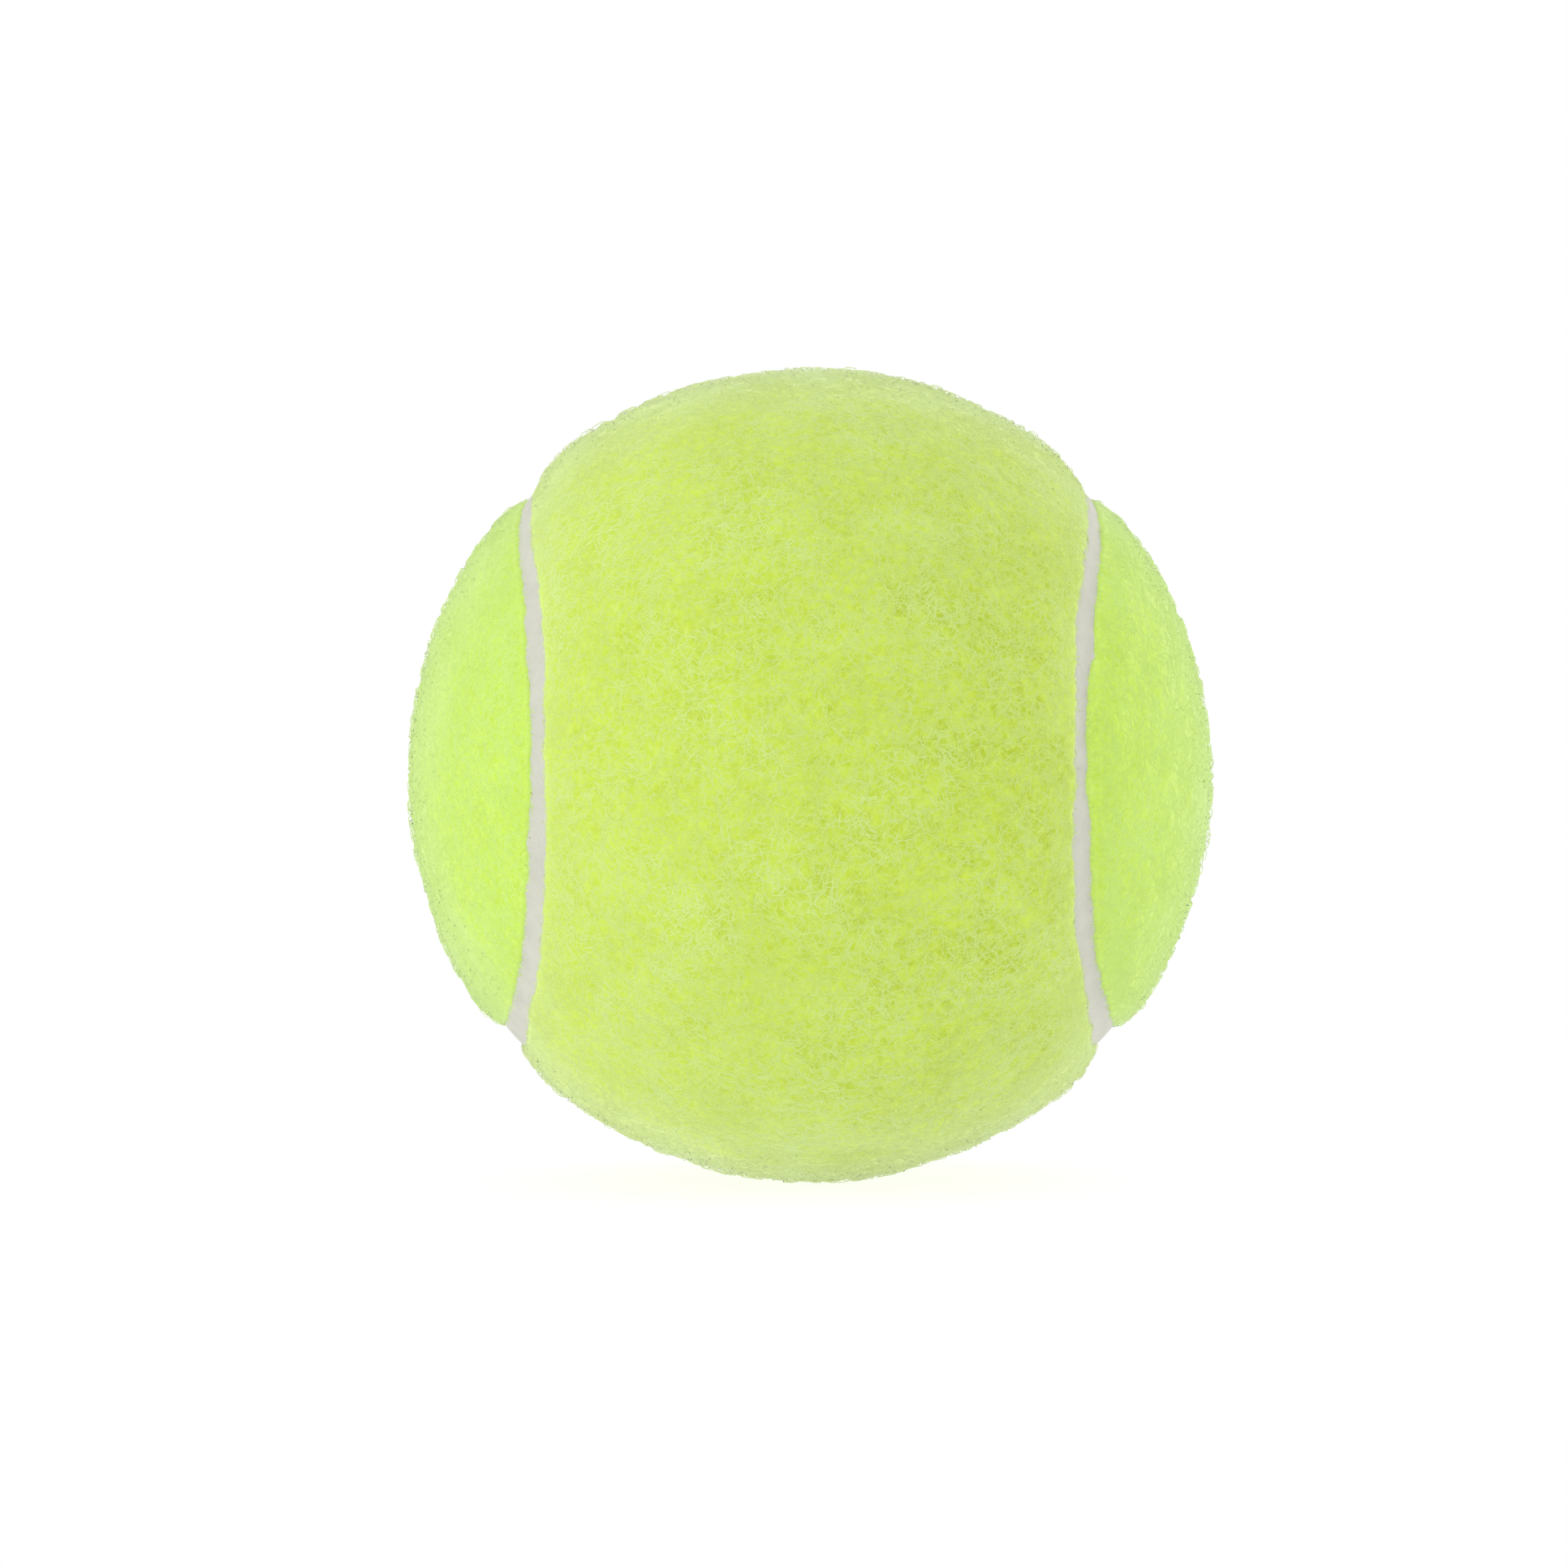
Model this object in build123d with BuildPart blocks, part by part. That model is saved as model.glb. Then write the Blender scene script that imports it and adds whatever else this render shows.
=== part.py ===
from build123d import *
from math import atan2, cos, radians, sin, sqrt
import os

# A tennis ball, at rest with its centre at the origin. One felt panel has its
# waist at the front, towards -Y, and the other has its waist at the back.

# Driving dimensions, in millimetres and degrees
ball_diameter = 67.0
core_diameter = 60.0
core_wall = 3.5
bond_gap = 0.3  # cement line between the two halves of the core
bond_bead = 0.6  # radius of the bead of cement squeezed out inside
coat_thickness = 0.15  # rubber solution brushed over the joined core
backing_thickness = 0.25  # rubber solution on the back of each felt panel
seam_width = 1.8
seam_recess = 1.2  # from the top of the nap down to the edges of the seam rubber
seam_dish = 0.12  # hollow along the middle of the seam rubber
shoulder_width = 2.0  # where the felt rolls down to the seam
waist_angle = 40.5  # from the middle of a panel's waist to the seam
run_slant = 13.0  # turn of the straight runs of the seam towards the side lobes

# Radii of the layers, from the inside out
ball_radius = ball_diameter / 2
core_radius = core_diameter / 2
bore_radius = core_radius - core_wall
coat_radius = core_radius + coat_thickness
felt_base_radius = coat_radius + backing_thickness
seam_radius = ball_radius - seam_recess
half_bond = bond_gap / 2
half_seam = seam_width / 2
above_ball = ball_radius + seam_recess
under_felt = core_radius - core_wall / 2

ball_centre = (0, 0, 0)


# The seam is one closed line on the ball: a round bend about each of the four
# panel lobes, joined by four straight runs that lie on great circles. Each
# stretch is an arc about an axis through the ball's centre.
def half_turn(point):
    """The point carried half a turn round the Y axis, through the two waists."""
    return Vector(-point.X, point.Y, -point.Z)


def swap_panels(point):
    """The point carried by the half turn that lays each panel on the other."""
    return Vector(point.Z, -point.Y, point.X)


def turn_over(point):
    """The point's mirror image, below for above."""
    return Vector(point.X, point.Y, -point.Z)


def other_side(point):
    """The point's mirror image, left for right."""
    return Vector(-point.X, point.Y, point.Z)


def seam_arc(centre, start, end):
    """Section plane, axis and angle of the stretch about centre, from start to end."""
    travel = centre.cross(start).normalized()
    section = Plane(origin=ball_centre, x_dir=start.cross(travel), z_dir=travel)
    start_arm = start - centre * start.dot(centre)
    end_arm = end - centre * end.dot(centre)
    return section, Axis(ball_centre, centre), start_arm.get_angle(end_arm)


waist = radians(waist_angle)
slant = radians(run_slant)
run_rise = cos(slant) / sqrt(2)
lobe_lead = atan2(cos(waist) - run_rise, sin(waist) - sin(slant))
lobe_centre = Vector(cos(lobe_lead), -sin(lobe_lead), 0)
run_axis = Vector(run_rise, sin(slant), -run_rise)
bend_start = (lobe_centre - run_axis * run_axis.dot(lobe_centre)).normalized()
bend_end = turn_over(bend_start)

# Half of the seam, stretch by stretch along the line, as centre, start and end
first_half = [
    (lobe_centre, bend_start, bend_end),
    (run_axis, swap_panels(bend_start), bend_start),
    (swap_panels(lobe_centre), swap_panels(bend_start), swap_panels(bend_end)),
    (other_side(run_axis), other_side(bend_start), swap_panels(bend_end)),
]
second_half = [[half_turn(point) for point in stretch] for stretch in first_half]
seam_arcs = [seam_arc(*stretch) for stretch in first_half + second_half]


# Section of the seam: across is measured from its middle line, up from the centre
def height_at(radius, across):
    """Height of a sphere of that radius, at a distance across from the seam's middle."""
    return sqrt(radius**2 - across**2)


shoulder_across = half_seam + shoulder_width
shoulder_top = (shoulder_across, height_at(ball_radius, shoulder_across))
shoulder_foot = (half_seam, height_at(seam_radius, half_seam))
shoulder_tangent = (-shoulder_top[1], shoulder_top[0])

# Channel between the two felt panels, with their rolled-down edges
with BuildSketch() as channel_section:
    with BuildLine():
        Line((0, under_felt), (half_seam, under_felt))
        Line((half_seam, under_felt), shoulder_foot)
        TangentArc(shoulder_top, shoulder_foot, tangent=shoulder_tangent)
        Line(shoulder_top, (shoulder_across, above_ball))
        Line((shoulder_across, above_ball), (0, above_ball))
        mirror(about=Plane.YZ)
    make_face()

# Seam rubber, from the coated core up to its slightly hollow top
core_edge = (half_seam, height_at(coat_radius, half_seam))
top_edge = shoulder_foot
with BuildSketch() as seam_section:
    with BuildLine():
        Line(core_edge, top_edge)
        mirror(about=Plane.YZ)
        ThreePointArc((-core_edge[0], core_edge[1]), (0, coat_radius), core_edge)
        ThreePointArc((-top_edge[0], top_edge[1]), (0, top_edge[1] - seam_dish), top_edge)
    make_face()


def along_seam(profile):
    """A solid of that section for each stretch of the seam."""
    stretches = []
    for section, axis, angle in seam_arcs:
        with BuildPart() as stretch:
            with BuildSketch(section):
                add(profile)
            revolve(axis=axis, revolution_arc=angle)
        stretches.append(stretch.part)
    return stretches


def front_first(panels):
    """The two panels, with the one whose waist is at the front first."""
    return panels.solids().sort_by(lambda panel: panel.bounding_box().min.Y)


# Core halves: moulded rubber cups, joined at the middle of the ball
with BuildPart() as core_half_upper:
    with BuildSketch(Plane.XZ):
        Circle(core_radius)
        Circle(bore_radius, mode=Mode.SUBTRACT)
        with Locations((0, half_bond)):
            Rectangle(core_radius, core_radius, align=(Align.MIN, Align.MIN), mode=Mode.INTERSECT)
    revolve(axis=Axis.Z)

with BuildPart() as core_half_lower:
    mirror(core_half_upper.part, about=Plane.XY)

# Bond ring: the cement line, with a bead squeezed out into the bore
bead_edge = height_at(bore_radius, half_bond)
with BuildPart() as core_bond_ring:
    with BuildSketch(Plane.XZ):
        Circle(core_radius)
        with Locations((bead_edge, 0)):
            Rectangle(core_wall, bond_gap, align=(Align.MIN, Align.CENTER), mode=Mode.INTERSECT)
        with BuildLine():
            Line((bead_edge, half_bond), (bead_edge, -half_bond))
            RadiusArc((bead_edge, -half_bond), (bead_edge, half_bond), -bond_bead, short_sagitta=False)
        make_face()
    revolve(axis=Axis.Z)

# Coat: the rubber solution that the felt is laid on
with BuildPart() as core_cement_coat:
    Sphere(coat_radius)
    Sphere(core_radius, mode=Mode.SUBTRACT)

channel = along_seam(channel_section.sketch)

# Panel backings: the rubber solution on the back of each panel
with BuildPart() as panel_backings:
    Sphere(felt_base_radius)
    Sphere(coat_radius, mode=Mode.SUBTRACT)
    add(channel, mode=Mode.SUBTRACT)

with BuildPart() as panel_backing_front:
    add(front_first(panel_backings.part)[0])

with BuildPart() as panel_backing_rear:
    add(front_first(panel_backings.part)[1])

# Felt panels: two alike dumbbell shapes that wrap the ball between them
with BuildPart() as felt_panels:
    Sphere(ball_radius)
    Sphere(felt_base_radius, mode=Mode.SUBTRACT)
    add(channel, mode=Mode.SUBTRACT)

with BuildPart() as felt_panel_front:
    add(front_first(felt_panels.part)[0])

with BuildPart() as felt_panel_rear:
    add(front_first(felt_panels.part)[1])

# Seam rubber: the closed line of rubber between the panels' edges
with BuildPart() as seam_rubber:
    add(along_seam(seam_section.sketch))

pieces = {
    "core_half_upper": core_half_upper,
    "core_half_lower": core_half_lower,
    "core_bond_ring": core_bond_ring,
    "core_cement_coat": core_cement_coat,
    "panel_backing_front": panel_backing_front,
    "panel_backing_rear": panel_backing_rear,
    "felt_panel_front": felt_panel_front,
    "felt_panel_rear": felt_panel_rear,
    "seam_rubber": seam_rubber,
}

os.makedirs("parts", exist_ok=True)
for name, piece in pieces.items():
    piece.part.label = name
    export_step(piece.part, f"parts/{name}.step")
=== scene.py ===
import math
import random

import bmesh
import bpy
from mathutils import Matrix, Vector, noise


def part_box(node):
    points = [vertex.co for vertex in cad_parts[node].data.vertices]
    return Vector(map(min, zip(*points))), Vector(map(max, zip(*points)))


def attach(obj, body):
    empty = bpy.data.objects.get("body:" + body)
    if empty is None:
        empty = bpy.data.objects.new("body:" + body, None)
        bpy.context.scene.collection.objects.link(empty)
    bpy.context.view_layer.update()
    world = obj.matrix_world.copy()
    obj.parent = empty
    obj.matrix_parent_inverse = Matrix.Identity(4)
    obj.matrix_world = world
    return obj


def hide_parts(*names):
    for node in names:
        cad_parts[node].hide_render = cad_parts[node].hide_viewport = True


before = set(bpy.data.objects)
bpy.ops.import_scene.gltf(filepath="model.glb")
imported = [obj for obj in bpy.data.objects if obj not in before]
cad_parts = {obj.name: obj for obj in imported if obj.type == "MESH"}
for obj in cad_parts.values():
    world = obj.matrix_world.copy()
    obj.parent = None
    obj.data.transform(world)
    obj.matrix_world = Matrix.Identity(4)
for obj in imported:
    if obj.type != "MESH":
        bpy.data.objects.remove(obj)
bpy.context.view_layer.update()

# A tennis ball. Every piece is in metres, with the ball's centre at the origin.
MM = 0.001

# Sizes from the frame
BALL_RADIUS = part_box("felt_panel_front")[1].z
FELT_BASE_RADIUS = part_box("panel_backing_front")[1].z
COAT_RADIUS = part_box("core_cement_coat")[1].z

# The seam's line on the ball: how far the waists reach, and how the straight runs slant
WAIST = math.radians(40.5)
SLANT = math.radians(13.0)
RUN_RISE = math.cos(SLANT) / math.sqrt(2)
LOBE_LEAD = math.atan2(math.cos(WAIST) - RUN_RISE, math.sin(WAIST) - math.sin(SLANT))
BEND_ANGLE = math.pi / 2 - WAIST - LOBE_LEAD
LOBE_CENTRE = Vector((math.cos(LOBE_LEAD), -math.sin(LOBE_LEAD), 0))
RUN_AXIS = Vector((RUN_RISE, math.sin(SLANT), -RUN_RISE))
BEND_START = (LOBE_CENTRE - RUN_AXIS * RUN_AXIS.dot(LOBE_CENTRE)).normalized()
BEND_HEADING = RUN_AXIS.cross(BEND_START)
SIDES = {"front": -1, "rear": 1}  # sign of each panel's distances from that line

# Where the seam isn't quite regular, alike on the left and the right: a place on the
# ball, how far it reaches, its shift towards the rear panel, and its widening on each side
SEAM_SPOTS = (
    (Vector((0.66, -0.75, 0.0)), 30 * MM, -0.33 * MM, 0),
    (Vector((0.70, -0.22, 0.68)), 7 * MM, -0.95 * MM, 0),
    (Vector((0.65, -0.68, 0.34)), 4 * MM, 0, 0.2 * MM),
    (Vector((0.65, -0.75, 0.12)), 3 * MM, 0, -0.16 * MM),
    (Vector((0.65, -0.74, -0.16)), 3 * MM, 0, 0.14 * MM),
    (Vector((0.65, -0.66, -0.36)), 6 * MM, -0.2 * MM, 0.2 * MM),
    (Vector((0.68, -0.30, -0.67)), 7 * MM, 0, 0.4 * MM),
    (Vector((0.71, 0.05, -0.70)), 7 * MM, 2.7 * MM, 0.8 * MM),
)

# The seam's section
SEAM_DEPTH = 0.92 * MM
SEAM_RADIUS = BALL_RADIUS - SEAM_DEPTH
SEAM_DISH = 0.12 * MM  # hollow along the middle of the rubber
SEAM_HALF_GAP = 0.85 * MM
EDGE_WAVES = ((9 * MM, 0.12 * MM), (2.6 * MM, 0.26 * MM), (0.8 * MM, 0.12 * MM))  # sizes, depths
SHOULDERS = {"front": 4.6 * MM, "rear": 3.8 * MM}  # widths over which the felt rolls down
SHOULDER_ROLL = 1.6
FELT_LIP = 0.12 * MM  # the felt's edge above the rubber
WALL_STEEPNESS = 3.0
LEAST_FELT = 0.1 * MM
SEAM_BAND = 4.8 * MM  # half the width of the rubber, whose sides are under the felt
BAND_STEPS = 12  # from the middle of the rubber to each of its sides
SPIN_STEP = 0.9  # degrees over the ball
RIPPLE_SIZE = 1.6 * MM
RIPPLE_DEPTH = 0.03 * MM
MERGE_DISTANCE = 0.01 * MM

# The felt's skin, with small lumps
NAP_HEIGHT = 0.5 * MM
SKIN_RADIUS = BALL_RADIUS - NAP_HEIGHT
OUT_OF_ROUND = 0.2 * MM  # taller than wide
SEAM_SWELL = 0.22 * MM  # fuller beside the seam's straight runs
LUMPS = ((11 * MM, 0.26 * MM), (4 * MM, 0.2 * MM), (2 * MM, 0.07 * MM), (0.95 * MM, 0.04 * MM))
BACK_FINENESS = 6
OUTSIDE_CUTS = 3  # how much finer the outside is than the back
EDGE_LIGHT_WIDTHS = {"front": 1.1 * MM, "rear": 0.45 * MM}  # widths of the paler cut edges, painted light that lifts the shade in the seam's groove and stands for sheen at the rolled edge
EDGE_LIGHT_STRENGTHS = {"front": 0.3, "rear": 0.45}  # how far that painted light pales them towards the crowns' colour
EDGE_LIGHT_MARK = "edge"

# The strands of the nap, which stand in small tufts
STRAND_LENGTH = (1.2 * MM, 2.5 * MM)
STRAND_RADIUS = (0.028 * MM, 0.046 * MM)
STRAND_LIFT = (0.06 * MM, 0.55 * MM)
STRAND_CURL = (0.15, 0.75)  # turn at each step, in radians
STRAND_WANDER = 0.25
STRAND_STEPS = 3
STRAND_SIDES = 3
STRAND_MAP = "OFBake"
ROOT_DEPTH = 0.05 * MM
POINT_MERGE = 0.02  # share of a strand's radius
STRANDS_IN_TUFT = 3
TUFT_KINDS = 16
TUFT_REACH = 0.7 * MM
TUFT_SEED = 7

# How the tufts lie on the skin
NAP_PIECES = 4
TUFTS_IN_PIECE = 5000
SEED_STEP = 10
TUFT_SIZES = (0.85, 1.15)
EDGE_SIZE = 0.35  # share of a tuft's size that is left at the edge
EDGE_GROWTH = 4 * MM  # distance from the edge over which a whole size is added
NAP_START = 0.1 * MM
EDGE_NAP = 2.5 * MM  # width of the denser nap along the edges
EDGE_DENSITY = 3
EDGE_FUZZ = 0.35 * MM  # how far strands lie over the rubber
NAP_LEAN = 0.25  # how much the tufts follow the skin's small lumps away from the edges
STRAND_UPTURN = 6.0  # how much more a strand is lit as the cloth under it than as a thread
SHADE_PATCHES = ((6 * MM, 0.6), (2.8 * MM, 0.6))  # sizes, and how much paler or deeper
SHADE_JITTER = 0.1
EDGE_NAP_LIGHT = 0.3  # how much paler the nap is at the edge: painted light
NAP_LEFT_SHEEN = 0.15  # how much paler the nap is on the left than in the middle: painted sheen from the light on the left

# The photograph's frame and the ball's place in it, in pixels
FRAME_PIXELS = 1932
BALL_PIXEL = (997.4, 954.6)
BALL_PIXEL_RADIUS = 499.3
CAMERA_DISTANCE = 10 * BALL_RADIUS
CAMERA_ELEVATION = math.radians(-0.9)
SENSOR_WIDTH = 36.0  # millimetres
NEAREST_SEEN = 0.01
FARTHEST_SEEN = 50.0

# The stage, in metres, and its softboxes: place, width, height and power
FLOOR_HALF = 4.0
FLOOR_GAP = 0.1 * MM
SHADOW_FADE = (0.05, 0.14)  # distances between which the paper turns plain white
PAPER_GREY = 0.25
PAPER_GLOW = 0.82
TABLE_GLOW = 1.12
WHITE_GLOW = 1.0
DOME_GLOW = 1.0
SOFTBOXES = {
    "key_softbox": ((-0.74, -0.42, 0.1), 1.0, 0.26, 2.3),
    "rim_softbox": ((0.75, 0.22, 0.1), 0.9, 0.26, 1.85),
    "top_softbox": ((0, -0.1, 0.9), 0.8, 0.8, 0.64),
}


# Shader nodes
class Socket:
    """An output of a shader node. Sums of sockets and numbers add their Math nodes."""

    def __init__(self, nodes, output):
        self.nodes = nodes
        self.output = output

    def maths(self, operation, first, second):
        return self.nodes.add("Math", {"operation": operation}, {0: first, 1: second})

    def __add__(self, other):
        return self.maths("ADD", self, other)

    def __radd__(self, other):
        return self.maths("ADD", other, self)

    def __sub__(self, other):
        return self.maths("SUBTRACT", self, other)

    def __rsub__(self, other):
        return self.maths("SUBTRACT", other, self)

    def __mul__(self, other):
        return self.maths("MULTIPLY", self, other)

    def __rmul__(self, other):
        return self.maths("MULTIPLY", other, self)


class Nodes:
    """A node tree that is being filled."""

    def __init__(self, tree):
        self.tree = tree
        self.tree.nodes.clear()

    def add(self, kind, settings=None, sockets=None, output=0):
        """Adds a node of that kind, its settings first, then its sockets' values or links."""
        node = self.tree.nodes.new("ShaderNode" + kind)
        for name, value in (settings or {}).items():
            setattr(node, name, value)
        for name, value in (sockets or {}).items():
            if isinstance(value, Socket):
                self.tree.links.new(value.output, node.inputs[name])
            else:
                node.inputs[name].default_value = value
        return Socket(self, node.outputs[output]) if node.outputs else node

    def object_place(self):
        return self.add("TexCoord", output="Object")

    def part_of(self, place, axis):
        """One coordinate of a place."""
        return self.add("SeparateXYZ", None, {"Vector": place}, output=axis)

    def size_of(self, value):
        """The value without its sign."""
        return self.add("Math", {"operation": "ABSOLUTE"}, {0: value})

    def noise(self, place, size, detail, roughness=0.5, distortion=0.0):
        """Noise from 0 to 1 whose patches are about that size across."""
        sockets = {"Vector": place, "Scale": 1 / size, "Detail": detail}
        sockets |= {"Roughness": roughness, "Distortion": distortion}
        return self.add("TexNoise", None, sockets)

    def patches(self, value):
        """A noise whose middle values are stretched from 0 to 1."""
        return self.spread(value, 0.35, 0.65)

    def curls(self, place, size, width):
        """Thin curly lines, 1 along their middle, where a noise crosses its own middle."""
        level = self.noise(place, size, detail=1) - 0.5
        return 1 - self.spread(self.size_of(level), 0, width)

    def spread(self, value, low, high):
        """The value stretched so that low becomes 0 and high becomes 1."""
        sockets = {"Value": value, "From Min": low, "From Max": high}
        return self.add("MapRange", {"clamp": True}, sockets)

    def mix(self, factor, first, second):
        """A colour between two colours."""
        sockets = {0: factor, 6: first, 7: second}
        return self.add("Mix", {"data_type": "RGBA"}, sockets, output=2)

    def bump(self, height, distance):
        sockets = {"Height": height, "Distance": distance, "Strength": 0.6}
        return self.add("Bump", None, sockets)

    def glow(self, strength):
        return self.add("Emission", None, {"Color": colour(1, 1, 1), "Strength": strength})


def new_material(name):
    material = bpy.data.materials.new(name)
    material.use_nodes = True
    return material, Nodes(material.node_tree)


def close_material(nodes, sockets):
    """Adds the one shader of a material and its output."""
    shader = nodes.add("BsdfPrincipled", None, sockets)
    nodes.add("OutputMaterial", None, {"Surface": shader})


def colour(red, green, blue):
    return (red, green, blue, 1.0)


# Colours of the felt: pits, cloth, strands and their paler crowns
# The crowns' paler colour is partly painted sheen on the fibre tops.
# The darker pits and cloth are partly painted shade, in the hollows and under the nap, which casts
# no shadow.
FELT_COLOURS = {
    "front": {
        "pit": colour(0.39, 0.51, 0.028),
        "skin": colour(0.52, 0.68, 0.062),
        "strand": colour(0.55, 0.71, 0.142),
        "crown": colour(0.66, 0.83, 0.3),
    },
    # The rear panel's colours are greener than the front's: painted light, the same felt lit greener
    # on the lobes
    "rear": {
        "pit": colour(0.42, 0.6, 0.043),
        "skin": colour(0.5, 0.71, 0.068),
        "strand": colour(0.53, 0.76, 0.135),
        "crown": colour(0.6, 0.84, 0.235),
    },
}
PITS_AND_SIDE_SHADE = {"front": (0.6, 1.4), "rear": (1.0, 1.0)}  # how much, on the left and on the right; more on the right is painted shade, as from light falling from the left
PATCH_SIZES = (9 * MM, 4 * MM)
CLUMP_SIZE = 1.1 * MM
PIT_SIZE = 0.7 * MM
TANGLE_SIZE = 0.4 * MM
TANGLE_DEPTH = 0.06 * MM
CURLS = ((0.8 * MM, 0.06), (0.5 * MM, 0.07))  # sizes, and widths in values of their noise
SHEEN_ROUGHNESS = 0.4
SHEEN_TINT = colour(0.95, 1.0, 0.92)

# Colours of the rubber and the cements, dark and light, with the size of their clouds and
# their roughness
SEAM_GREY = (colour(0.477, 0.479, 0.411), colour(0.56, 0.563, 0.485), 2.2 * MM, 0.62)
CORE_BLACK = (colour(0.05, 0.05, 0.053), colour(0.09, 0.088, 0.085), 5 * MM, 0.66)
BOND_BROWN = (colour(0.26, 0.19, 0.10), colour(0.40, 0.30, 0.17), 3 * MM, 0.5)
COAT_TAN = (colour(0.42, 0.36, 0.27), colour(0.56, 0.49, 0.38), 7 * MM, 0.52)
BACKING_GREY = (colour(0.52, 0.49, 0.44), colour(0.66, 0.63, 0.58), 4 * MM, 0.7)
SEAM_GRAIN = 0.03 * MM
INNER_GRAIN = 0.05 * MM
GRAINS_ACROSS_CLOUD = 9


# Finishes
def felt_finish(panel):
    """Matted felt: uneven patches, clumps, fine tangle, and small pits between the tangles; the
    pits' darker colour is painted shade, and the paler cut edges are painted light.
    """
    shades = FELT_COLOURS[panel]
    material, nodes = new_material("felt_cloth_" + panel)
    place = nodes.object_place()
    broad, small = (nodes.noise(place, size, detail=1) for size in PATCH_SIZES)
    clumps = nodes.noise(place, CLUMP_SIZE, detail=1)
    tangle = nodes.noise(place, TANGLE_SIZE, detail=4, roughness=0.6, distortion=0.6)
    pits = nodes.spread(nodes.noise(place, PIT_SIZE, detail=2), 0.32, 0.5)
    uneven = nodes.patches(broad * 0.5 + small * 0.5) * 0.35 + nodes.patches(clumps) * 0.3
    shade = nodes.spread(uneven + tangle * 0.15 + pits * 0.2, 0.15, 0.85)
    # Pits show more on the right: painted shade, as from light falling from the left
    left, right = PITS_AND_SIDE_SHADE[panel]
    rightward = nodes.spread(nodes.part_of(place, "X"), -BALL_RADIUS / 2, BALL_RADIUS / 2)
    shade = 1 - (1 - shade) * (left + (right - left) * rightward)
    wide, fine = (nodes.curls(place, size, width) for size, width in CURLS)
    # Pits darker than the cloth: painted shade in the felt's hollows
    ground = nodes.mix(shade, shades["pit"], shades["skin"])
    cloth = nodes.mix(wide * 0.5 + fine * 0.5, ground, shades["strand"])
    # Paler cut edges: painted light that lifts the shade in the seam's groove
    edge = nodes.add("Attribute", {"attribute_name": EDGE_LIGHT_MARK}, output="Fac")
    sockets = {
        "Base Color": nodes.mix(edge, cloth, shades["crown"]),
        "Roughness": 0.82 + 0.14 * tangle,
        "Normal": nodes.bump(tangle * 0.6 + pits * 0.4, TANGLE_DEPTH),
        "Specular IOR Level": 0.25,
        "Sheen Weight": 0.6,
        "Sheen Roughness": SHEEN_ROUGHNESS,
        "Sheen Tint": SHEEN_TINT,
    }
    close_material(nodes, sockets)
    return material


def nap_finish(panel):
    """Nap strands: each tuft has its own shade across the map, and pales from root to crown, partly
    as painted shade at the root and painted sheen on the crown.
    """
    shades = FELT_COLOURS[panel]
    material, nodes = new_material("felt_nap_" + panel)
    place = nodes.add("UVMap", {"uv_map": STRAND_MAP})
    height = 1 - nodes.size_of(nodes.part_of(place, "X") * 2 - 1)
    paleness = nodes.spread(height, 0, 0.5) * (nodes.part_of(place, "Y") * 0.8 + 0.2)
    sockets = {
        "Base Color": nodes.mix(paleness, shades["strand"], shades["crown"]),
        "Roughness": 0.75,
        "Specular IOR Level": 0.1,
        "Sheen Weight": 0.4,
        "Sheen Roughness": SHEEN_ROUGHNESS,
        "Sheen Tint": SHEEN_TINT,
    }
    close_material(nodes, sockets)
    return material


def rubber_finish(name, dark, light, cloud_size, roughness, grain_depth):
    """Rubber or cured cement: cloudy colour, an uneven shine and a faint grain."""
    material, nodes = new_material(name)
    place = nodes.object_place()
    cloud = nodes.noise(place, cloud_size, detail=4, roughness=0.6)
    grain = nodes.noise(place, cloud_size / GRAINS_ACROSS_CLOUD, detail=2)
    sockets = {
        "Base Color": nodes.mix(nodes.spread(cloud * 0.7 + grain * 0.3, 0.3, 0.7), dark, light),
        "Roughness": roughness + 0.16 * (cloud - 0.5),
        "Normal": nodes.bump(grain * 0.6 + cloud * 0.4, grain_depth),
        "Specular IOR Level": 0.3,
    }
    close_material(nodes, sockets)
    return material


# The seam's line
def spot_sums(point):
    """Shift and widening of the seam at a point, from the places where it isn't regular."""
    folded = Vector((abs(point.x), point.y, point.z)).normalized()
    shift = widening = 0.0
    for spot, spread, spot_shift, spot_widening in SEAM_SPOTS:
        away = (folded - spot).length * BALL_RADIUS / spread
        fade = math.exp(-away * away)
        shift += spot_shift * fade
        widening += spot_widening * fade
    return shift, widening


def seam_offset(point, shift):
    """Distance over the ball from the shifted seam's middle, over 0 on the rear panel's side."""
    x, y, z = abs(point.x), point.y, abs(point.z)
    side = 1
    if z > x:
        x, y, z = z, -y, x
        side = -1
    spot = Vector((x, y, z)).normalized()
    if spot.dot(BEND_HEADING) > 0:
        angle = BEND_ANGLE - spot.angle(LOBE_CENTRE)
    else:
        angle = math.asin(spot.dot(RUN_AXIS))
    return side * angle * BALL_RADIUS - shift


def half_gap(point, widening):
    """Distance from the seam's middle line to the edge of a panel, wavy and ragged."""
    gap = SEAM_HALF_GAP + widening
    for size, depth in EDGE_WAVES:
        gap += noise.noise(point / size) * depth
    return gap


def inland(point, panel):
    """Distance over the ball from the edge of a panel, under 0 where the seam shows."""
    point = point.normalized() * BALL_RADIUS
    shift, widening = spot_sums(point)
    return SIDES[panel] * seam_offset(point, shift) - half_gap(point, widening)


def edge_light_share(reach, panel):
    """How much of the painted light along the cut edge a place gets, from 1 at the edge to 0 inland.
    """
    return min(max(1 - reach / EDGE_LIGHT_WIDTHS[panel], 0), 1)


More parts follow.
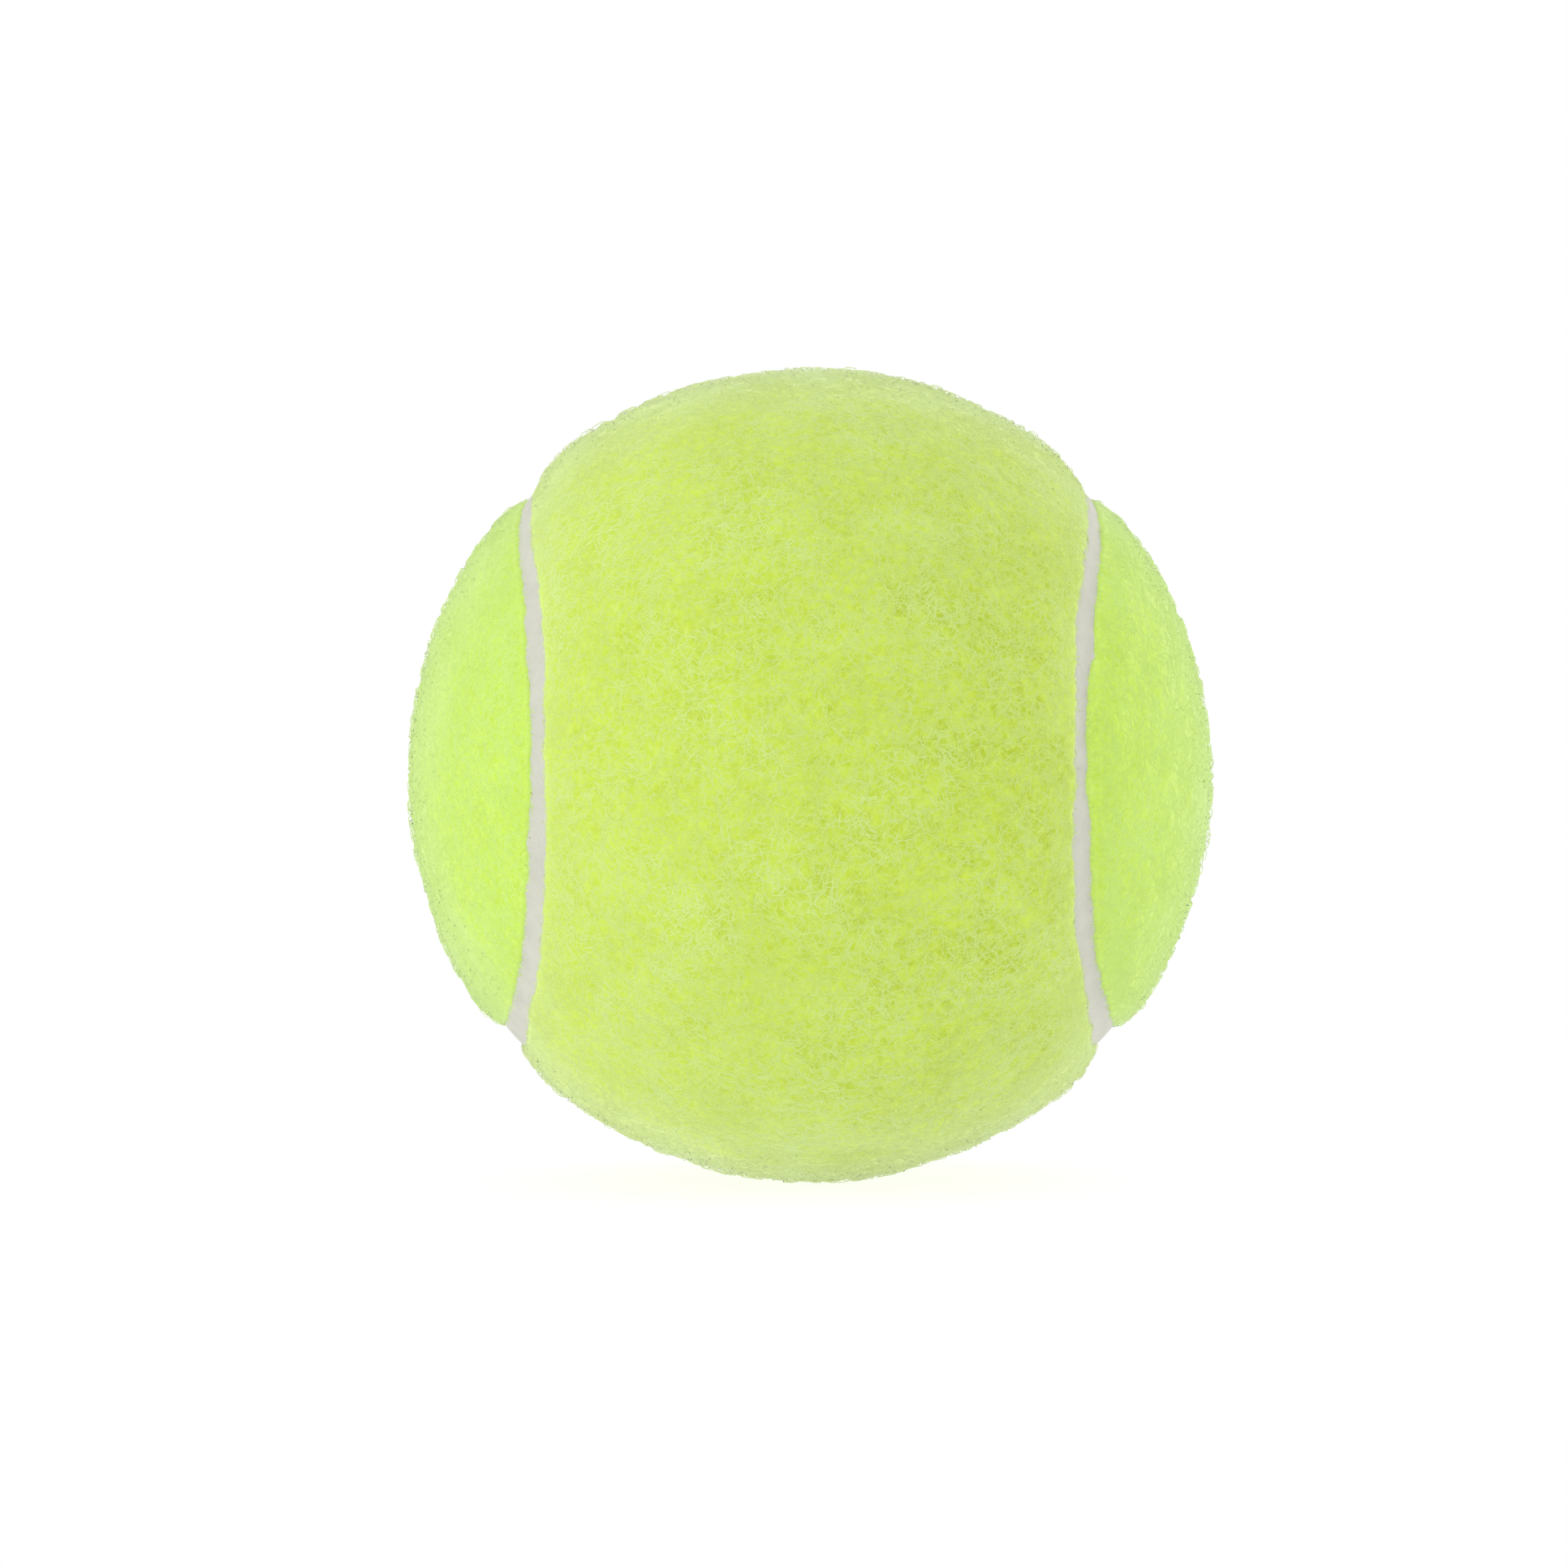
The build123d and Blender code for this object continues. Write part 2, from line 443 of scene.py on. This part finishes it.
def skin_radius(direction, panel, reach):
    """Radius of the felt's skin, which rolls down to the seam, that far from the edge."""
    point = direction * BALL_RADIUS
    low = max(1 - max(reach, 0) / SHOULDERS[panel], 0) ** SHOULDER_ROLL
    lumps = sum(height * noise.noise(point / size) for size, height in LUMPS)
    lumps += OUT_OF_ROUND * (direction.z**2 - direction.x**2)
    lumps += SEAM_SWELL * (2 * direction.x * direction.z) ** 2
    edge = SEAM_RADIUS + FELT_LIP - WALL_STEEPNESS * max(-reach, 0)
    return max(low * edge + (1 - low) * (SKIN_RADIUS + lumps), FELT_BASE_RADIUS + LEAST_FELT)


def finished_piece(name, bm):
    """A new object with that mesh, shaded smooth, riding on the ball."""
    for face in bm.faces:
        face.smooth = True
    mesh = bpy.data.meshes.new(name)
    bm.to_mesh(mesh)
    bm.free()
    piece = bpy.data.objects.new(name, mesh)
    bpy.context.scene.collection.objects.link(piece)
    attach(piece, "root")
    return piece


# Felt panels
def cut_along_seam(bm):
    """Splits the faces that the seam's middle line crosses."""
    cuts = []
    for edge in list(bm.edges):
        before, after = (seam_offset(vert.co, spot_sums(vert.co)[0]) for vert in edge.verts)
        if before * after < 0:
            share = before / (before - after)
            cuts.append(bmesh.utils.edge_split(edge, edge.verts[0], share)[1])
    bmesh.ops.connect_verts(bm, verts=cuts)


def felt_panel(panel):
    """One felt panel: a closed dumbbell, fine on the outside and coarse on its back."""
    bm = bmesh.new()
    bmesh.ops.create_icosphere(bm, subdivisions=BACK_FINENESS, radius=BALL_RADIUS)
    cut_along_seam(bm)
    middles = {face: face.calc_center_median() for face in bm.faces}
    offsets = {face: seam_offset(spot, spot_sums(spot)[0]) for face, spot in middles.items()}
    others = [face for face, offset in offsets.items() if SIDES[panel] * offset < 0]
    bmesh.ops.delete(bm, geom=others, context="FACES")
    bmesh.ops.solidify(bm, geom=bm.faces[:], thickness=BALL_RADIUS - FELT_BASE_RADIUS)
    middle = (BALL_RADIUS + FELT_BASE_RADIUS) / 2
    outer = [edge for edge in bm.edges if all(vert.co.length > middle for vert in edge.verts)]
    bmesh.ops.subdivide_edges(bm, edges=outer, cuts=OUTSIDE_CUTS, use_grid_fill=True)
    mark = bm.verts.layers.float.new(EDGE_LIGHT_MARK)
    for vert in bm.verts:
        direction = vert.co.normalized()
        outside = vert.co.length > middle
        reach = inland(direction, panel)
        vert.co = direction * (skin_radius(direction, panel, reach) if outside else FELT_BASE_RADIUS)
        # Marks the painted light along the cut edges
        vert[mark] = EDGE_LIGHT_STRENGTHS[panel] * edge_light_share(reach, panel)
    bmesh.ops.recalc_face_normals(bm, faces=bm.faces[:])
    return finished_piece("felt_" + panel, bm)


# Nap
def strand_path(rng):
    """Points of a curly strand that leaves the skin, crowns and comes back to it."""
    length = rng.uniform(*STRAND_LENGTH)
    low, high = STRAND_LIFT
    lift = low + (high - low) * rng.random() ** 2
    heading = rng.uniform(-math.pi, math.pi)
    curl = rng.choice((-1, 1)) * rng.uniform(*STRAND_CURL)
    spot = Vector((rng.gauss(0, TUFT_REACH), rng.gauss(0, TUFT_REACH), 0))
    step = length / STRAND_STEPS
    points = []
    for count in range(STRAND_STEPS + 1):
        crown = math.sin(math.pi * count / STRAND_STEPS)
        sag = (spot.x**2 + spot.y**2) / (2 * BALL_RADIUS)
        points.append(Vector((spot.x, spot.y, lift * crown - sag - ROOT_DEPTH)))
        spot = spot + step * Vector((math.cos(heading), math.sin(heading), 0))
        heading += curl + rng.gauss(0, STRAND_WANDER)
    return points


def map_strand(bm, kind):
    """Lays a straight strand out in its tuft's own strip of the map."""
    layer = bm.loops.layers.uv.verify()
    for face in bm.faces:
        sides = [math.atan2(loop.vert.co.y, loop.vert.co.x) / math.tau % 1 for loop in face.loops]
        across_start = max(sides) - min(sides) > 0.5
        for loop, around in zip(face.loops, sides):
            around = around + 1 if across_start and around < 0.5 else around
            loop[layer].uv = (loop.vert.co.z + 0.5, (kind + around / 2) / TUFT_KINDS)


def strand_mesh(rng, kind):
    """A thin strand along a curly path, pointed at both ends."""
    bm = bmesh.new()
    bm.loops.layers.uv.new(STRAND_MAP)
    points = strand_path(rng)
    radius = rng.uniform(*STRAND_RADIUS)
    shape = {"segments": STRAND_SIDES, "radius1": radius, "radius2": radius, "depth": 1.0}
    bmesh.ops.create_cone(bm, cap_ends=False, **shape)
    lengthwise = [edge for edge in bm.edges if edge.verts[0].co.z != edge.verts[1].co.z]
    bmesh.ops.subdivide_edges(bm, edges=lengthwise, cuts=STRAND_STEPS - 1)
    map_strand(bm, kind)
    for vert in bm.verts:
        count = round((vert.co.z + 0.5) * STRAND_STEPS)
        ahead = points[min(count + 1, STRAND_STEPS)] - points[max(count - 1, 0)]
        thick = 0.0 if count in (0, STRAND_STEPS) else 1.0
        ring = Vector((vert.co.x * thick, vert.co.y * thick, 0))
        vert.co = points[count] + ahead.to_track_quat("Z", "Y") @ ring
    bmesh.ops.remove_doubles(bm, verts=bm.verts[:], dist=radius * POINT_MERGE)
    mesh = bpy.data.meshes.new("strand")
    bm.to_mesh(mesh)
    bm.free()
    return mesh


def make_tufts():
    """Small tufts of strands, from the deepest shade to the palest."""
    rng = random.Random(TUFT_SEED)
    tufts = []
    for kind in range(TUFT_KINDS):
        bm = bmesh.new()
        for _ in range(STRANDS_IN_TUFT):
            strand = strand_mesh(rng, kind)
            bm.from_mesh(strand)
            bpy.data.meshes.remove(strand)
        mesh = bpy.data.meshes.new("tuft")
        bm.to_mesh(mesh)
        bm.free()
        tufts.append(mesh)
    return tufts


def nap_ground(felt, panel):
    """Places for tufts, each with its normal and distance from the edge, denser at the edge."""
    ground = []
    for face in felt.data.polygons:
        reach = inland(face.center, panel)
        if reach > NAP_START and face.center.length > SEAM_RADIUS:
            times = EDGE_DENSITY if reach < EDGE_NAP else 1
            ground += times * [(Vector(face.center), Vector(face.normal), reach)]
    return ground


def tuft_kind(rng, spot, reach, panel):
    """Which tuft stands at a place: paler in patches, paler along the edge as painted light, and
    paler on the left as painted sheen.
    """
    shade = 0.5 + sum(change * noise.noise(spot / size) for size, change in SHADE_PATCHES)
    # Paler along the edge: painted light
    shade += EDGE_NAP_LIGHT * edge_light_share(reach, panel) + rng.gauss(0, SHADE_JITTER)
    # Paler on the left: painted sheen from the light falling from the left
    shade -= NAP_LEFT_SHEEN * spot.x / BALL_RADIUS
    return min(max(int(shade * TUFT_KINDS), 0), TUFT_KINDS - 1)


def lay_over_edge(tuft, model, size, panel):
    """Lays a tuft's strands down the felt's shoulder, and a little way over the rubber."""
    for vert, flat in zip(tuft.vertices, model.vertices):
        direction = vert.co.normalized()
        landing = inland(direction, panel)
        lowest = SEAM_RADIUS - WALL_STEEPNESS * max(-landing - EDGE_FUZZ, 0)
        height = max(skin_radius(direction, panel, landing), lowest)
        vert.co = direction * (height + size * max(flat.co.z, -ROOT_DEPTH))


def nap_piece(name, panel, ground, tufts, seed):
    """Tufts scattered over a panel's outside, shorter towards the edge along the seam."""
    rng = random.Random(seed)
    bm = bmesh.new()
    ups = []
    share = len(ground) / TUFTS_IN_PIECE
    for count in range(TUFTS_IN_PIECE):
        spot, normal, reach = ground[int((count + rng.random()) * share)]
        size = rng.uniform(*TUFT_SIZES) * min(EDGE_SIZE + reach / EDGE_GROWTH, 1)
        model = tufts[tuft_kind(rng, spot, reach, panel)]
        lean = NAP_LEAN + (1 - NAP_LEAN) * max(1 - reach / SHOULDERS[panel], 0)
        up = (spot.normalized() + lean * normal).normalized()
        turn = up.to_track_quat("Z", "Y").to_matrix().to_4x4()
        turn = turn @ Matrix.Rotation(rng.uniform(-math.pi, math.pi), 4, "Z")
        tuft = model.copy()
        tuft.transform(Matrix.Translation(spot) @ turn @ Matrix.Scale(size, 4))
        if reach < SHOULDERS[panel]:
            lay_over_edge(tuft, model, size, panel)
        bm.from_mesh(tuft)
        ups += len(tuft.vertices) * [up]
        bpy.data.meshes.remove(tuft)
    nap = finished_piece(name, bm)
    blends = zip(nap.data.vertices, ups)
    normals = [(vert.normal + STRAND_UPTURN * up).normalized() for vert, up in blends]
    nap.data.normals_split_custom_set_from_vertices(normals)
    # Strands this thin let the light through
    nap.visible_shadow = False
    nap.visible_diffuse = False
    return nap


# Seam rubber
def half_turn(point):
    """The point carried half a turn round the Y axis, through the two waists."""
    return Vector((-point.x, point.y, -point.z))


def swap_panels(point):
    """The point carried by the half turn that lays each panel on the other."""
    return Vector((point.z, -point.y, point.x))


def other_side(point):
    """The point's mirror image, left for right."""
    return Vector((-point.x, point.y, point.z))


def seam_stretches():
    """The stretches of the seam's line, each with its axis, its start and its sweep."""
    bend_arm = BEND_START - LOBE_CENTRE * BEND_START.dot(LOBE_CENTRE)
    bend_sweep = 2 * bend_arm.angle(-Vector((math.sin(LOBE_LEAD), math.cos(LOBE_LEAD), 0)))
    run_sweep = 2 * BEND_START.angle(Vector((1, 0, 1)))
    first_half = [
        (LOBE_CENTRE, BEND_START, bend_sweep),
        (swap_panels(LOBE_CENTRE), swap_panels(BEND_START), bend_sweep),
        (RUN_AXIS, swap_panels(BEND_START), run_sweep),
        (other_side(RUN_AXIS), other_side(BEND_START), run_sweep),
    ]
    second_half = [(half_turn(axis), half_turn(start), sweep) for axis, start, sweep in first_half]
    return first_half + second_half


def seam_section(axis, start):
    """Points round the rubber's section at the start of a stretch, its dished top first."""
    lateral = (axis - start * axis.dot(start)).normalized()
    half = math.asin(SEAM_BAND / SEAM_RADIUS)
    top = []
    for count in range(-BAND_STEPS, BAND_STEPS + 1):
        angle = half * count / BAND_STEPS
        dish = SEAM_DISH * max(1 - (angle * SEAM_RADIUS / SEAM_HALF_GAP) ** 2, 0)
        top.append((start * math.cos(angle) + lateral * math.sin(angle)) * (SEAM_RADIUS - dish))
    return top + [point.normalized() * COAT_RADIUS for point in (top[-1], start, top[0])]


def seam_band(name):
    """The closed line of rubber, spun stretch by stretch along the seam."""
    bm = bmesh.new()
    for axis, start, sweep in seam_stretches():
        ring = [bm.verts.new(point) for point in seam_section(axis, start)]
        edges = [bm.edges.new(ends) for ends in zip(ring, ring[1:] + ring[:1])]
        steps = max(round(math.degrees(sweep) * math.sin(axis.angle(start)) / SPIN_STEP), 2)
        bmesh.ops.spin(bm, geom=ring + edges, cent=(0, 0, 0), axis=axis, angle=sweep, steps=steps)
    bmesh.ops.remove_doubles(bm, verts=bm.verts[:], dist=MERGE_DISTANCE)
    bmesh.ops.recalc_face_normals(bm, faces=bm.faces[:])
    for vert in bm.verts:
        if vert.co.length > SEAM_RADIUS - SEAM_DEPTH:
            vert.co += vert.co.normalized() * RIPPLE_DEPTH * noise.noise(vert.co / RIPPLE_SIZE)
    return finished_piece(name, bm)


# The dressed pieces
def dress(piece, material, slot, *nodes):
    piece.data.materials.append(material)
    if nodes:
        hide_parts(*nodes)


tufts = make_tufts()
for panel in FELT_COLOURS:
    felt = felt_panel(panel)
    dress(felt, felt_finish(panel), "felt", "felt_panel_" + panel)
    strands = nap_finish(panel)
    ground = nap_ground(felt, panel)
    for number in range(1, NAP_PIECES + 1):
        seed = SEED_STEP * number + SIDES[panel]
        nap = nap_piece(f"nap_{panel}_{number}", panel, ground, tufts, seed)
        dress(nap, strands, "felt")

seam = seam_band("seam_line")
dress(seam, rubber_finish("seam_grey_rubber", *SEAM_GREY, SEAM_GRAIN), "seam", "seam_rubber")

# Finishes of the pieces inside, which stay as the frame has them
INSIDE = {
    "core_half_upper": ("core_rubber_upper", CORE_BLACK),
    "core_half_lower": ("core_rubber_lower", CORE_BLACK),
    "core_bond_ring": ("bond_cement", BOND_BROWN),
    "core_cement_coat": ("coat_cement", COAT_TAN),
    "panel_backing_front": ("backing_cement_front", BACKING_GREY),
    "panel_backing_rear": ("backing_cement_rear", BACKING_GREY),
}
for node, (name, look) in INSIDE.items():
    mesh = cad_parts[node].data
    mesh.materials.clear()
    mesh.materials.append(rubber_finish(name, *look, INNER_GRAIN))


# Stage
def floor_finish():
    """White paper that keeps the ball's shadow near it, and lights the ball as a white table."""
    material, nodes = new_material("floor_paper")
    place = nodes.object_place()
    away = nodes.add("VectorMath", {"operation": "LENGTH"}, {0: place}, output="Value")
    far = nodes.spread(away, *SHADOW_FADE)
    camera = nodes.add("LightPath", output="Is Camera Ray")
    glossy = nodes.add("LightPath", output="Is Glossy Ray")
    through = nodes.add("LightPath", output="Is Transmission Ray")
    sheet = nodes.add("BsdfDiffuse", None, {"Color": colour(PAPER_GREY, PAPER_GREY, PAPER_GREY)})
    paper = nodes.add("AddShader", None, {0: sheet, 1: nodes.glow(PAPER_GLOW)})
    seen = nodes.add("MixShader", None, {0: far, 1: paper, 2: nodes.glow(WHITE_GLOW)})
    rays = camera + glossy + through
    shown = nodes.add("MixShader", None, {0: rays, 1: nodes.glow(TABLE_GLOW), 2: seen})
    nodes.add("OutputMaterial", None, {"Surface": shown})
    return material


def make_floor():
    bm = bmesh.new()
    place = Matrix.Translation((0, 0, -BALL_RADIUS - FLOOR_GAP))
    bmesh.ops.create_grid(bm, x_segments=2, y_segments=2, size=FLOOR_HALF, matrix=place)
    mesh = bpy.data.meshes.new("floor")
    bm.to_mesh(mesh)
    bm.free()
    floor = bpy.data.objects.new("floor", mesh)
    bpy.context.scene.collection.objects.link(floor)
    mesh.materials.append(floor_finish())


def make_world():
    world = bpy.data.worlds.new("studio")
    world.use_nodes = True
    bpy.context.scene.world = world
    nodes = Nodes(world.node_tree)
    dome = nodes.add("Background", None, {"Color": colour(1, 1, 1), "Strength": DOME_GLOW})
    nodes.add("OutputWorld", None, {"Surface": dome})


def add_softbox(name, place, width, height, power):
    lamp = bpy.data.lights.new(name, "AREA")
    lamp.shape = "RECTANGLE"
    lamp.size = width
    lamp.size_y = height
    lamp.energy = power
    box = bpy.data.objects.new(name, lamp)
    box.location = place
    box.rotation_euler = (-Vector(place)).to_track_quat("-Z", "Y").to_euler()
    bpy.context.scene.collection.objects.link(box)


def make_camera():
    lens = bpy.data.cameras.new("camera")
    lens.sensor_width = SENSOR_WIDTH
    outline_tangent = BALL_RADIUS / math.sqrt(CAMERA_DISTANCE**2 - BALL_RADIUS**2)
    focal_pixels = BALL_PIXEL_RADIUS / outline_tangent
    lens.lens = SENSOR_WIDTH * focal_pixels / FRAME_PIXELS
    lens.shift_x = (FRAME_PIXELS / 2 - BALL_PIXEL[0]) / FRAME_PIXELS
    lens.shift_y = (BALL_PIXEL[1] - FRAME_PIXELS / 2) / FRAME_PIXELS
    lens.clip_start = NEAREST_SEEN
    lens.clip_end = FARTHEST_SEEN
    camera = bpy.data.objects.new("camera", lens)
    level = CAMERA_DISTANCE * math.cos(CAMERA_ELEVATION)
    camera.location = (0, -level, CAMERA_DISTANCE * math.sin(CAMERA_ELEVATION))
    camera.rotation_euler = (-camera.location).to_track_quat("-Z", "Y").to_euler()
    bpy.context.scene.collection.objects.link(camera)
    bpy.context.scene.camera = camera


make_floor()
make_world()
for name, softbox in SOFTBOXES.items():
    add_softbox(name, *softbox)
make_camera()
bpy.context.scene.view_settings.view_transform = "Standard"
